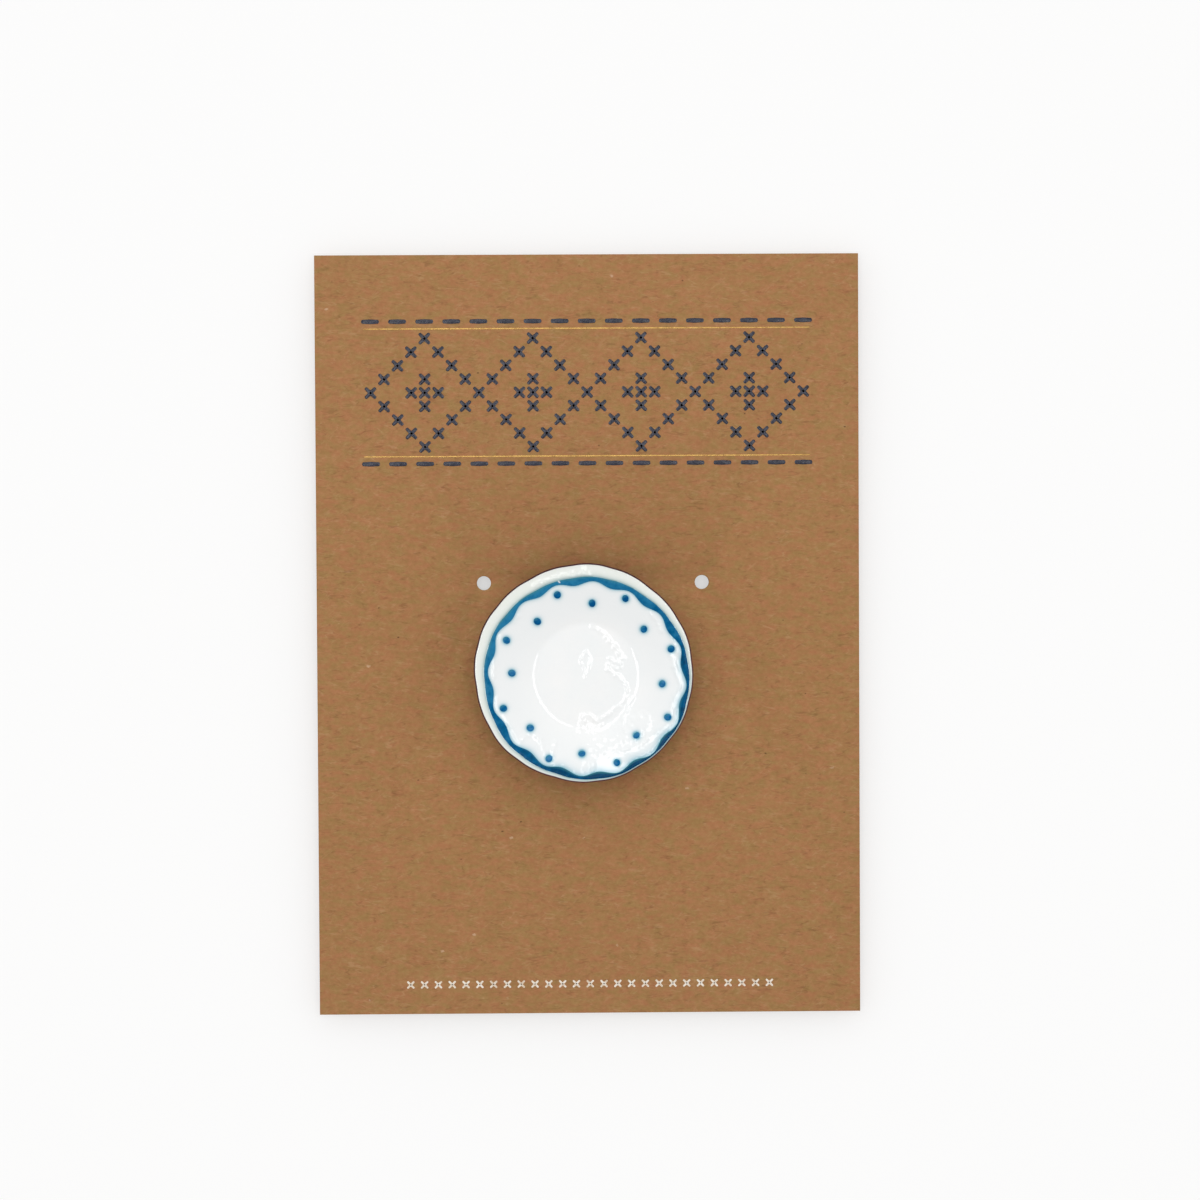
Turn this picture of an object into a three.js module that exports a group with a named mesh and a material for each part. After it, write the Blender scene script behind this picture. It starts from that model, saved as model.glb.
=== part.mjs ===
// Needle minder: a miniature glazed plate glued to a disc magnet, and clamped on a kraft card by a
// second, loose magnet behind the card.
// Millimetres. The origin is the middle of the rear magnet's back face, which everything stands on.
// +Z points out of the plate's face, +Y to the top of the card and +X to its right.
// Angles are in degrees, clockwise from the top of the card as seen from the front.

import * as THREE from 'three';

// Disc magnets, one size for front and rear
const magnetRadius = 6.0;
const magnetThickness = 2.0;
const magnetEdgeRound = 0.25;

// Backing card, with its middle measured from the magnets' axis
const cardWidth = 63.5;
const cardHeight = 88.9;
const cardThickness = 0.5;
const cardMiddleX = 0.63;
const cardMiddleY = 4.21;

// Punched holes, measured from the card's middle
const punchRadius = 0.82;
const punchSpacing = 25.5;
const punchMiddleX = 0.56;
const punchMiddleY = 6.12;

// Plate body, a turned form
const plateRadius = 12.7;
const wellRadius = 5.7;
const cavettoRadius = 3.0;
const rimSlope = 12.5;
const rimThickness = 1.0;
const lipRound = 0.2;
const floorThickness = 1.2;

// The well is a little off the plate's axis, and the rim takes up the difference within this radius
const wellX = 0.28;
const wellY = -0.35;
const wellReach = 10.4;

// Foot ring under the plate
const footRadius = 6.6;
const footWidth = 1.2;
const footHeight = 0.6;
const footRound = 0.15;
const footFillet = 0.3;

// Trimmed edge: lobes between shallow notches, and the slow wander of a hand-made outline
const lobeCount = 16;
const lobeTurn = 4.3;
const notchDepth = 0.07;
const notchSharpness = 4;
const wander = [
  { waves: 2, size: 0.035, turn: 117 },
  { waves: 4, size: 0.023, turn: 21 },
  { waves: 5, size: 0.037, turn: 10 },
  { waves: 6, size: 0.031, turn: -4 },
  { waves: 7, size: 0.026, turn: 18 },
];
const wanderReach = 4.5;

// Adhesive between the plate's foot and the front magnet
const glueThickness = 0.3;
const glueBead = 0.35;
const glueClearance = 0.05;

// Painted band, with a scallop to each lobe. It was painted freehand, so its outside and its
// scallops each have a middle off the plate's own, and each is a little oval.
const bandInset = 0.9;
const bandX = 0.34;
const bandY = -0.58;
const bandOval = { waves: 2, size: 0.085, turn: 104 };
const bandWidth = 0.71;
const bandLeast = 0.15;
const bandHeight = 0.07;
const bandEdgeHeight = 0.03;
const bandShoulder = 0.2;
const scallopDepth = 0.27;
const scallopX = 0.4;
const scallopY = -0.65;
const scallopOval = { waves: 2, size: 0.155, turn: 117 };

// Painted dots, one to each lobe, in two rings inside the band and about the scallops' middle
const dotRadius = 0.43;
const dotHeight = 0.08;
const dotShoulder = 0.6;
const dotRings = [
  { inset: 3.09, lead: 0 },
  { inset: 1.5, lead: -1 },
];

// Clearances of the paint above the glaze and inside the lip
const paintGap = 0.015;
const paintMargin = 0.02;

// Fineness of the curves
const plateSegments = 8 * lobeCount;
const rimRows = 4;
const magnetSegments = 48;
const dotSegments = 12;
const punchSteps = 12;
const arcSteps = 2;

// Heights of the stack, from the rear magnet's back face to the plate's foot
const cardBackZ = magnetThickness;
const frontMagnetZ = cardBackZ + cardThickness;
const glueZ = frontMagnetZ + magnetThickness;
const plateZ = glueZ + glueThickness;

// Materials
const nickel = new THREE.MeshStandardMaterial({ color: 0xc9cacc, roughness: 0.22, metalness: 1 });
const kraft = new THREE.MeshStandardMaterial({ color: 0xa27850, roughness: 0.9, metalness: 0 });
const glaze = new THREE.MeshStandardMaterial({ color: 0xf2f2ee, roughness: 0.1, metalness: 0 });
const enamel = new THREE.MeshStandardMaterial({ color: 0x146a9a, roughness: 0.15, metalness: 0 });
const glue = new THREE.MeshStandardMaterial({ color: 0xded8c4, roughness: 0.35, metalness: 0 });

const part = new THREE.Group();

function addPiece(name, geometry, material, z = 0) {
  const piece = new THREE.Mesh(geometry, material);
  piece.name = name;
  piece.position.z = z;
  part.add(piece);
}

function radians(degrees) {
  return THREE.MathUtils.degToRad(degrees);
}

// A solid of revolution, from a profile of (radius, height) points that runs from the bottom, round
// the outside, to the top
function turned(profile, segments) {
  return new THREE.LatheGeometry(profile, segments).rotateX(Math.PI / 2);
}

// Moves each vertex of a geometry to the place that a function gives it
function reshape(geometry, place) {
  const position = geometry.getAttribute('position');
  const point = new THREE.Vector3();
  for (let i = 0; i < position.count; i += 1) {
    point.fromBufferAttribute(position, i);
    place(point);
    position.setXYZ(i, point.x, point.y, point.z);
  }
  return geometry;
}

// A disc magnet with rounded edges
function magnetGeometry() {
  const flat = magnetRadius - magnetEdgeRound;
  const top = magnetThickness - magnetEdgeRound;
  const profile = new THREE.Path();
  profile.moveTo(0, 0);
  profile.lineTo(flat, 0);
  profile.absarc(flat, magnetEdgeRound, magnetEdgeRound, -Math.PI / 2, 0, false);
  profile.absarc(flat, top, magnetEdgeRound, 0, Math.PI / 2, false);
  profile.lineTo(0, magnetThickness);
  return turned(profile.getPoints(arcSteps), magnetSegments);
}

// The card, with the two holes punched through it
function cardGeometry() {
  const left = cardMiddleX - cardWidth / 2;
  const bottom = cardMiddleY - cardHeight / 2;
  const outline = new THREE.Shape();
  outline.moveTo(left, bottom);
  outline.lineTo(left + cardWidth, bottom);
  outline.lineTo(left + cardWidth, bottom + cardHeight);
  outline.lineTo(left, bottom + cardHeight);
  outline.closePath();
  for (const side of [-1, 1]) {
    const x = cardMiddleX + punchMiddleX + side * punchSpacing / 2;
    const y = cardMiddleY + punchMiddleY;
    const hole = new THREE.Path();
    hole.absarc(x, y, punchRadius, 0, 2 * Math.PI, true);
    outline.holes.push(hole);
  }
  const options = { depth: cardThickness, bevelEnabled: false, curveSegments: punchSteps };
  return new THREE.ExtrudeGeometry(outline, options);
}

// The two straight flanks of the plate's wall. The upper one runs from the cavetto out to the lip,
// and the lower one from the top of the foot ring to the lip's underside.
const upperSlope = radians(rimSlope);
const floorZ = footHeight + floorThickness;
const rimStart = wellRadius + cavettoRadius * Math.sin(upperSlope);
const rimStartZ = floorZ + cavettoRadius * (1 - Math.cos(upperSlope));
const lipCorner = Math.min(lipRound, rimThickness / 2);
const lipStart = plateRadius - lipCorner;

function upperZ(radius) {
  return rimStartZ + (radius - rimStart) * Math.tan(upperSlope);
}

const lowerSlope = Math.atan2(upperZ(lipStart) - rimThickness - footHeight, lipStart - footRadius);

function lowerZ(radius) {
  return footHeight + (radius - footRadius) * Math.tan(lowerSlope);
}

// Profile of the plate: hollow and ring of the foot, underside, lip, rim, cavetto and well floor.
// Each rounded corner is tangent to the flank that it meets.
function plateProfile() {
  const footInside = footRadius - footWidth;
  const filletMiddle = footRadius + footFillet;
  const filletZ = lowerZ(filletMiddle) - footFillet / Math.cos(lowerSlope);
  const filletEnd = filletMiddle - footFillet * Math.sin(lowerSlope);
  const underEnd = lipStart + lipCorner * Math.sin(lowerSlope);
  const underCornerZ = lowerZ(lipStart) + lipCorner / Math.cos(lowerSlope);
  const topCornerZ = upperZ(lipStart) - lipCorner / Math.cos(upperSlope);
  const rimEnd = lipStart - lipCorner * Math.sin(upperSlope);
  const quarter = Math.PI / 2;

  const profile = new THREE.Path();
  profile.moveTo(0, footHeight);
  profile.lineTo(footInside, footHeight);
  profile.lineTo(footInside, footRound);
  profile.lineTo(footInside + footRound, 0);
  profile.lineTo(footRadius - footRound, 0);
  profile.lineTo(footRadius, footRound);
  profile.absarc(filletMiddle, filletZ, footFillet, Math.PI, quarter + lowerSlope, true);
  for (let row = 1; row < rimRows; row += 1) {
    const radius = THREE.MathUtils.lerp(filletEnd, underEnd, row / rimRows);
    profile.lineTo(radius, lowerZ(radius));
  }
  profile.absarc(lipStart, underCornerZ, lipCorner, lowerSlope - quarter, 0, false);
  profile.absarc(lipStart, topCornerZ, lipCorner, 0, quarter + upperSlope, false);
  for (let row = 1; row < rimRows; row += 1) {
    const radius = THREE.MathUtils.lerp(rimEnd, rimStart, row / rimRows);
    profile.lineTo(radius, upperZ(radius));
  }
  profile.absarc(wellRadius, floorZ + cavettoRadius, cavettoRadius, upperSlope - quarter, -quarter, true);
  profile.lineTo(0, floorZ);
  return profile.getPoints(arcSteps);
}

// How far a wave round the plate reaches out at an angle. Two waves to the turn make an oval.
function waveAt(wave, turn) {
  return wave.size * Math.cos(wave.waves * (turn - radians(wave.turn)));
}

// How much of the well's shift a point of the upper face takes, at a distance from the axis
function wellShare(radius) {
  return 1 - THREE.MathUtils.smoothstep(radius, rimStart, wellReach);
}

// Takes a point of the turned plate to the hand-made one, which is lobed and wanders. The well
// moves on the upper face only, because the foot stays in line with the magnet.
function handMade(point) {
  const radius = Math.hypot(point.x, point.y);
  const turn = Math.atan2(point.x, point.y);
  const reach = THREE.MathUtils.smoothstep(radius, plateRadius - wanderReach, plateRadius);
  const betweenLobes = Math.abs(Math.sin(lobeCount / 2 * (turn - radians(lobeTurn))));
  let change = -notchDepth * betweenLobes ** notchSharpness;
  for (const wave of wander) {
    change += waveAt(wave, turn);
  }
  const scale = radius > 0 ? 1 + reach * change / radius : 1;
  const shift = point.z > floorZ - floorThickness / 4 ? wellShare(radius) : 0;
  point.x = point.x * scale + wellX * shift;
  point.y = point.y * scale + wellY * shift;
}

function plateGeometry() {
  return reshape(turned(plateProfile(), plateSegments), handMade);
}

// Glue: a plug in the hollow of the foot, and a thin pad with a bead squeezed out round its edge.
// The bead's curve reaches half as far out as its control point.
function adhesiveGeometry() {
  const padRadius = Math.min(magnetRadius - magnetEdgeRound, footRadius - footRound);
  const plugRadius = Math.min(footRadius - footWidth, padRadius) - glueClearance;
  const profile = new THREE.Path();
  profile.moveTo(0, 0);
  profile.lineTo(padRadius, 0);
  profile.quadraticCurveTo(padRadius + 2 * glueBead, glueThickness / 2, padRadius, glueThickness);
  profile.lineTo(plugRadius, glueThickness);
  profile.lineTo(plugRadius, glueThickness + footHeight);
  profile.lineTo(0, glueThickness + footHeight);
  return turned(profile.getPoints(2 * arcSteps), magnetSegments);
}

// Lays a point of the paint on the plate's rim, at its own height above the glaze
function layOnRim(point) {
  point.z += upperZ(Math.hypot(point.x, point.y)) + paintGap;
  handMade(point);
}

const bandRadius = plateRadius - bandInset;
const scallopRadius = bandRadius - bandWidth;
const paintLimit = lipStart - lipCorner * Math.sin(upperSlope) - paintMargin;

// The band: a ring whose section is stretched from the scallops to its round outside, where the lip
// can cut it short. The ring is turned one unit wide and one unit from the axis.
function borderGeometry() {
  const section = [
    new THREE.Vector2(1, 0),
    new THREE.Vector2(2, 0),
    new THREE.Vector2(2, bandEdgeHeight),
    new THREE.Vector2(2 - bandShoulder, bandHeight),
    new THREE.Vector2(1 + bandShoulder, bandHeight),
    new THREE.Vector2(1, bandEdgeHeight),
    new THREE.Vector2(1, 0),
  ];
  const inside = new THREE.Vector2();
  const outside = new THREE.Vector2();
  return reshape(turned(section, plateSegments), (point) => {
    const share = Math.hypot(point.x, point.y) - 1;
    const turn = Math.atan2(point.x, point.y);
    const scallop = scallopDepth * Math.cos(lobeCount * (turn - radians(lobeTurn)));
    const scallopReach = scallopRadius + scallop + waveAt(scallopOval, turn);
    inside.set(Math.sin(turn), Math.cos(turn)).multiplyScalar(scallopReach);
    inside.x += scallopX;
    inside.y += scallopY;
    inside.clampLength(0, paintLimit - bandLeast);
    outside.set(Math.sin(turn), Math.cos(turn)).multiplyScalar(bandRadius + waveAt(bandOval, turn));
    outside.x += bandX;
    outside.y += bandY;
    outside.clampLength(0, paintLimit);
    inside.lerp(outside, share);
    point.x = inside.x;
    point.y = inside.y;
    layOnRim(point);
  });
}

// One domed dab of paint, at an angle and a distance from the scallops' middle. It was aimed at the
// finished plate, so it starts out back by as much as the well's shift will move it.
function dotGeometry(turn, distance) {
  const dab = [
    new THREE.Vector2(0, 0),
    new THREE.Vector2(dotRadius, 0),
    new THREE.Vector2(dotRadius * dotShoulder, dotHeight * dotShoulder),
    new THREE.Vector2(0, dotHeight),
  ];
  const aimX = scallopX + distance * Math.sin(turn);
  const aimY = scallopY + distance * Math.cos(turn);
  const share = wellShare(Math.hypot(aimX, aimY));
  const x = aimX - wellX * share;
  const y = aimY - wellY * share;
  return reshape(turned(dab, dotSegments), (point) => {
    point.x += x;
    point.y += y;
    layOnRim(point);
  });
}

addPiece('rear_magnet', magnetGeometry(), nickel);
addPiece('backing_card', cardGeometry(), kraft, cardBackZ);
addPiece('front_magnet', magnetGeometry(), nickel, frontMagnetZ);
addPiece('adhesive', adhesiveGeometry(), glue, glueZ);
addPiece('plate', plateGeometry(), glaze, plateZ);
addPiece('painted_border', borderGeometry(), enamel, plateZ);
for (let i = 0; i < lobeCount; i += 1) {
  const ring = dotRings[i % dotRings.length];
  const turn = radians(lobeTurn + ring.lead + i * 360 / lobeCount);
  const number = String(i + 1).padStart(2, '0');
  addPiece(`painted_dot_${number}`, dotGeometry(turn, bandRadius - ring.inset), enamel, plateZ);
}

export default part;
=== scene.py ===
# %% [markdown]
# Needle minder: a miniature plate on a magnet, clamped to its card.
# The object is a glazed plate about an inch across. It is glued to a small disc magnet, and a second,
# loose magnet pulls it against a kraft card. Each cell below makes one piece or one finish.
# The CAD model is the fixed frame: every piece here is made where that frame says, in the same space.

import math

import bmesh
import bpy
from mathutils import Matrix, Vector, noise


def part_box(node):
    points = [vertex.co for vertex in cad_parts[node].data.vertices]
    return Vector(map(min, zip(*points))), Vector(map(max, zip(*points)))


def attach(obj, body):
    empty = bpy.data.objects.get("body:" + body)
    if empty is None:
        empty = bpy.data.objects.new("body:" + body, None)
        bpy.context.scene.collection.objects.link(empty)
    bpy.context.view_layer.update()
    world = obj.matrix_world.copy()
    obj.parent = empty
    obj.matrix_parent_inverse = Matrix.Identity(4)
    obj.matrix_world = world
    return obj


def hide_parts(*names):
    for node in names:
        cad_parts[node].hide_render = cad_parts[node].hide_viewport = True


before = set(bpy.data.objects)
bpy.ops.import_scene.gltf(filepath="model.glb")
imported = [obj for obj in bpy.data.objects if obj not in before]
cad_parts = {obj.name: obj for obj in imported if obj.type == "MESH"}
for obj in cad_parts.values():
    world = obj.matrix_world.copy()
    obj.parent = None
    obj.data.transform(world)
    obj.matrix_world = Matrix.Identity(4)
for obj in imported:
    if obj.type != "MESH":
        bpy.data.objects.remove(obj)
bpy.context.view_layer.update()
print("nodes in the frame:", len(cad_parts))

# %% [markdown]
# Small things are easiest to think about in millimetres, but Blender works in metres.
# The lengths in this script are millimetres, every mesh is drawn in millimetres, and the last step
# of each piece scales its vertices down. The object itself stays unscaled, at the origin, as the
# frame's own objects do, so that a pattern on Object coordinates stays where it is painted.

# %% From a drawn mesh to a finished piece
MM = 0.001
TINY = 1e-6
SMOOTH_ANGLE = 35


def node_box(name):
    """Lowest and highest corners of a CAD node, in millimetres."""
    low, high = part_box(name)
    return low / MM, high / MM


def scene_object(bm, name):
    """Turns a bmesh drawn in millimetres into an object of the scene, in metres."""
    bmesh.ops.scale(bm, vec=(MM, MM, MM), verts=bm.verts)
    mesh = bpy.data.meshes.new(name)
    bm.to_mesh(mesh)
    bm.free()
    made = bpy.data.objects.new(name, mesh)
    bpy.context.scene.collection.objects.link(made)
    return made


def finish_piece(bm, name, body, nodes=()):
    """Turns a bmesh into a piece that rides on a body, smooth but for its sharp edges."""
    piece = scene_object(bm, name)
    mesh = piece.data
    mesh.shade_smooth()
    mesh.set_sharp_from_angle(angle=math.radians(SMOOTH_ANGLE))
    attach(piece, body)
    if nodes:
        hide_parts(*nodes)
    print(f"{name}: {len(mesh.vertices)} vertices, {len(mesh.polygons)} faces")
    return piece


# %% [markdown]
# Most of the pieces are turned forms, as on a lathe or a potter's wheel: magnets, glue, plate, paint.
# Each starts as half of its section, a chain of edges beside the Z axis, which bmesh.ops.spin takes
# once round. A full spin needs use_merge to close the seam. The points on the axis then lie on top of
# each other, so doubles are merged before the normals are made to point outwards.

# %% Turning a section round the Z axis
MERGE_DISTANCE = 1e-5


def turned(section, steps, closed=False):
    """A bmesh turned from (radius, height) points, which start and end on the axis or form a ring."""
    bm = bmesh.new()
    verts = [bm.verts.new((radius, 0, height)) for radius, height in section]
    edges = [bm.edges.new(pair) for pair in zip(verts, verts[1:])]
    if closed:
        edges.append(bm.edges.new((verts[-1], verts[0])))
    bmesh.ops.spin(
        bm, geom=verts + edges, cent=(0, 0, 0), axis=(0, 0, 1), angle=math.tau, steps=steps, use_merge=True
    )
    bmesh.ops.remove_doubles(bm, verts=bm.verts, dist=MERGE_DISTANCE)
    bmesh.ops.recalc_face_normals(bm, faces=bm.faces)
    return bm


def arc(middle, radius, start, end, steps):
    """Points on a round stretch of a section, from one angle to another, in radians."""
    turns = [start + (end - start) * step / steps for step in range(steps + 1)]
    return [(middle[0] + radius * math.cos(turn), middle[1] + radius * math.sin(turn)) for turn in turns]


def line(start, end, steps):
    """Points along a straight stretch of a section, without its ends."""
    shares = [step / steps for step in range(1, steps)]
    return [tuple(a + (b - a) * share for a, b in zip(start, end)) for share in shares]


# %% [markdown]
# A procedural material is a little network: coordinates go into noises, noises into colours, and
# colours into the shader. The class below only shortens that wiring. Object coordinates are scaled
# to millimetres first, so a noise scale of 2 means two features to the millimetre. Each noise is
# named beside its finish by its scale, its detail and, where it isn't 0.5, its roughness.

# %% Short ways to wire a material
class Finish:
    """A material with one Principled shader, and short ways to add the nodes that drive it."""

    def __init__(self, name, **sockets):
        self.material = bpy.data.materials.new(name)
        self.material.use_nodes = True
        self.tree = self.material.node_tree
        self.shader = self.tree.nodes["Principled BSDF"]
        for socket, value in sockets.items():
            self.shader.inputs[socket.replace("_", " ")].default_value = value

    def node(self, kind, inputs=(), **settings):
        made = self.tree.nodes.new("ShaderNode" + kind)
        for setting, value in settings.items():
            setattr(made, setting, value)
        for socket, value in dict(inputs).items():
            if isinstance(value, bpy.types.NodeSocket):
                self.tree.links.new(value, made.inputs[socket])
            else:
                made.inputs[socket].default_value = value
        return made

    def drive(self, socket, output):
        self.tree.links.new(output, self.shader.inputs[socket])

    def place(self, stretch=(1, 1, 1), turn=0.0, shift=(0, 0, 0)):
        """Object coordinates in millimetres, turned about Z and then stretched."""
        where = self.node("TexCoord").outputs["Object"]
        scale = tuple(share / MM for share in stretch)
        turned_first = self.node(
            "Mapping", {"Vector": where, "Rotation": (0, 0, math.radians(turn))}
        ).outputs["Vector"]
        return self.node(
            "Mapping", {"Vector": turned_first, "Location": shift, "Scale": scale}
        ).outputs["Vector"]

    def zones(self, name):
        """The four channels of a colour attribute, each of which holds one mask."""
        stored = self.node("Attribute", attribute_name=name).outputs
        parts = self.node("SeparateColor", {"Color": stored["Color"]}).outputs
        return {"Alpha": stored["Alpha"], **{part: parts[part] for part in ("Red", "Green", "Blue")}}

    def noise(self, vector, scale, detail=2.0, roughness=0.5):
        inputs = {"Vector": vector, "Scale": scale, "Detail": detail, "Roughness": roughness}
        return self.node("TexNoise", inputs).outputs["Fac"]

    def ramp(self, share, stops):
        """A colour ramp from (position, colour) stops, where a number stands for a grey."""
        made = self.node("ValToRGB", {"Fac": share})
        elements = made.color_ramp.elements
        while len(elements) < len(stops):
            elements.new(0.5)
        for element, (position, color) in zip(elements, stops):
            element.position = position
            grey = isinstance(color, (int, float))
            element.color = (color, color, color, 1) if grey else (*color, 1)
        return made.outputs["Color"]

    def mix(self, share, first, second):
        """Blends two colours. A share of 0 gives the first one."""
        inputs = {0: share, 6: self.color(first), 7: self.color(second)}
        return self.node("Mix", inputs, data_type="RGBA").outputs[2]

    def color(self, value):
        return value if isinstance(value, bpy.types.NodeSocket) else (*value, 1)

    def maths(self, operation, first, second=0.0, clamp=False):
        inputs = {0: first, 1: second}
        return self.node("Math", inputs, operation=operation, use_clamp=clamp).outputs[0]

    def bump(self, height, depth, strength, below=None):
        """Makes a height from 0 to 1 stand up by a depth in millimetres."""
        inputs = {"Height": height, "Distance": depth * MM, "Strength": strength}
        if below is not None:
            inputs["Normal"] = below
        return self.node("Bump", inputs).outputs["Normal"]


def paint(piece, finish):
    """Gives a piece one finish all over."""
    piece.data.materials.clear()
    piece.data.materials.append(finish.material)


def srgb(red, green, blue):
    """A colour as a picture editor shows it, from 0 to 255, in the linear values that Blender mixes."""
    shares = (value / 255 for value in (red, green, blue))
    return tuple(s / 12.92 if s <= 0.04045 else ((s + 0.055) / 1.055) ** 2.4 for s in shares)


# %% [markdown]
# The backing card is die-cut kraft board, half a millimetre thick, with two small punched holes.
# It could be a cube with a boolean for each hole. Filling a flat outline that already has the holes
# in it, then pulling the sheet up to its thickness, leaves cleaner edges. Both cutters press the rim
# down a little, so every edge of the cut gets a tiny bevel.

# %% The kraft card
CARD_CUT_ROUND = 0.07
PUNCH_RADIUS = 0.82
PUNCH_SPACING = 25.5
PUNCH_MIDDLE = Vector((0.56, 6.12))
PUNCH_SEGMENTS = 48
FOLD_ANGLE = math.radians(45)

card_low, card_high = node_box("backing_card")
card_middle = ((card_low + card_high) / 2).to_2d()
card_front_z = card_high.z


def card_piece():
    bm = bmesh.new()
    left, right = card_low.x, card_high.x
    foot, top = card_low.y, card_high.y
    corners = ((left, foot), (right, foot), (right, top), (left, top))
    verts = [bm.verts.new((x, y, card_low.z)) for x, y in corners]
    for start, end in zip(verts, verts[1:] + verts[:1]):
        bm.edges.new((start, end))
    for side in (-1, 1):
        hole = card_middle + PUNCH_MIDDLE + Vector((side * PUNCH_SPACING / 2, 0))
        place = Matrix.Translation((hole.x, hole.y, card_low.z))
        bmesh.ops.create_circle(bm, segments=PUNCH_SEGMENTS, radius=PUNCH_RADIUS, matrix=place)
    bmesh.ops.triangle_fill(bm, use_beauty=True, use_dissolve=False, edges=bm.edges)
    sheet = bmesh.ops.extrude_face_region(bm, geom=bm.faces)
    raised = [item for item in sheet["geom"] if isinstance(item, bmesh.types.BMVert)]
    bmesh.ops.translate(bm, vec=(0, 0, card_high.z - card_low.z), verts=raised)
    bmesh.ops.recalc_face_normals(bm, faces=bm.faces)
    folded = [edge for edge in bm.edges if abs(edge.calc_face_angle(0)) > FOLD_ANGLE]
    cut = [edge for edge in folded if not is_upright(edge)]
    bmesh.ops.bevel(
        bm, geom=cut, offset=CARD_CUT_ROUND, affect="EDGES", segments=2, profile=0.5, material=-1
    )
    return finish_piece(bm, "kraft_card", "card", ["backing_card"])


def is_upright(edge):
    """True for an edge that runs through the card's thickness."""
    start, end = (vert.co for vert in edge.verts)
    return (start - end).to_2d().length < TINY


kraft_card = card_piece()


# %% [markdown]
# Kraft board is brown because its fibres are unbleached, and the eye reads it by those fibres.
# The colour is built in layers: a slow mottle, a fine grain, patches of a redder and a greener
# brown, pale and dark fibres, and a few specks. A fibre is a thin line where a stretched noise
# passes through one value. Most fibres lie along the way that the paper machine ran, here across.
# A layer of fibres is its turn, a shift to a new part of the noise, its colour, how strongly it
# shows, and how wide its threads are.

# %% The kraft finish
KRAFT = srgb(162, 119, 76)
KRAFT_PALE = srgb(176, 133, 89)
KRAFT_DARK = srgb(147, 105, 64)
KRAFT_RED = srgb(179, 112, 80)
KRAFT_OLIVE = srgb(151, 126, 72)
MOTTLE = (0.35, 4.0, 0.62)
MOTTLE_WEIGHT = 0.22
GRAIN = (1.9, 5.0, 0.72)
GRAIN_STRETCH, GRAIN_TURN = (1, 1.25, 1), 6
GRAIN_WEIGHT = 0.78
HUE = (0.9, 4.0, 0.65)
HUE_STRETCH, HUE_SHIFT = (0.7, 1.4, 1), (19, 7, 0)
HUE_WEIGHT = 0.38
FIBRE_PALE = srgb(188, 148, 108)
FIBRE_DARK = srgb(106, 68, 40)
FIBRE = (1.0, 1.5)
FIBRE_STRETCH = (0.28, 1.5, 1)
FIBRE_PATCHES = (0.9, 2.0)
FIBRE_LAYERS = (
    (8, 11, FIBRE_PALE, 0.40, 0.030),
    (-5, 37, FIBRE_DARK, 0.36, 0.030),
    (14, 59, FIBRE_DARK, 0.26, 0.024),
    (-38, 83, FIBRE_PALE, 0.26, 0.022),
)
FIBRE_RISE = 0.25
BARK = srgb(78, 52, 34)
BARK_DENSITY, BARK_STRENGTH = 0.42, 0.8
BLEACHED = srgb(220, 188, 158)
BLEACHED_DENSITY, BLEACHED_STRENGTH = 0.24, 0.45
SPECK_EDGE = (4.0, 2.0)
SPECK_STRETCH = (1, 1.4, 0)
SPECK_RAGGEDNESS = 0.12
KRAFT_ROUGHNESS = 0.92
KRAFT_RELIEF = 0.02


def kraft_finish():
    kraft = Finish("kraft_board", Roughness=KRAFT_ROUGHNESS, IOR=1.35)
    mottle = kraft.noise(kraft.place(), *MOTTLE)
    grain = kraft.noise(kraft.place(GRAIN_STRETCH, GRAIN_TURN), *GRAIN)
    slow = kraft.maths("MULTIPLY", mottle, MOTTLE_WEIGHT)
    tone = kraft.maths("ADD", slow, kraft.maths("MULTIPLY", grain, GRAIN_WEIGHT))
    color = kraft.ramp(tone, [(0.32, KRAFT_DARK), (0.5, KRAFT), (0.68, KRAFT_PALE)])
    warmth = kraft.noise(kraft.place(HUE_STRETCH, shift=HUE_SHIFT), *HUE)
    hue = kraft.ramp(warmth, [(0.36, KRAFT_OLIVE), (0.64, KRAFT_RED)])
    color = kraft.mix(HUE_WEIGHT, color, hue)
    height = grain
    for turn, shift, tint, strength, width in FIBRE_LAYERS:
        strand = kraft.noise(kraft.place(FIBRE_STRETCH, turn, (shift, shift, 0)), *FIBRE)
        off = kraft.maths("ABSOLUTE", kraft.maths("SUBTRACT", strand, 0.5))
        thread = kraft.ramp(off, [(0.0, 1.0), (width, 0.0)])
        patches = kraft.noise(kraft.place(shift=(-shift, shift, 0)), *FIBRE_PATCHES)
        present = kraft.maths("MULTIPLY", thread, kraft.ramp(patches, [(0.48, 0.0), (0.62, 1.0)]))
        color = kraft.mix(kraft.maths("MULTIPLY", present, strength), color, tint)
        height = kraft.maths("ADD", height, kraft.maths("MULTIPLY", present, FIBRE_RISE))
    color = kraft.mix(specks(kraft, BARK_DENSITY, BARK_STRENGTH), color, BARK)
    color = kraft.mix(specks(kraft, BLEACHED_DENSITY, BLEACHED_STRENGTH), color, BLEACHED)
    kraft.drive("Base Color", color)
    kraft.drive("Normal", kraft.bump(height, KRAFT_RELIEF, 0.5))
    return kraft


def specks(kraft, density, strength):
    """A mask of a few specks: the middles of a few Voronoi cells, made ragged by a noise."""
    ragged = kraft.noise(kraft.place(), *SPECK_EDGE)
    cells = kraft.node("TexVoronoi", {"Vector": kraft.place(SPECK_STRETCH), "Scale": density})
    torn = kraft.maths("MULTIPLY", ragged, SPECK_RAGGEDNESS)
    speck = kraft.maths("ADD", cells.outputs["Distance"], torn)
    chosen = kraft.node("SeparateColor", {"Color": cells.outputs["Color"]}).outputs[0]
    middle = kraft.ramp(speck, [(0.085, 1.0), (0.125, 0.0)])
    return kraft.maths("MULTIPLY", middle, kraft.ramp(chosen, [(0.80, 0.0), (0.84, strength)]))


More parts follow.
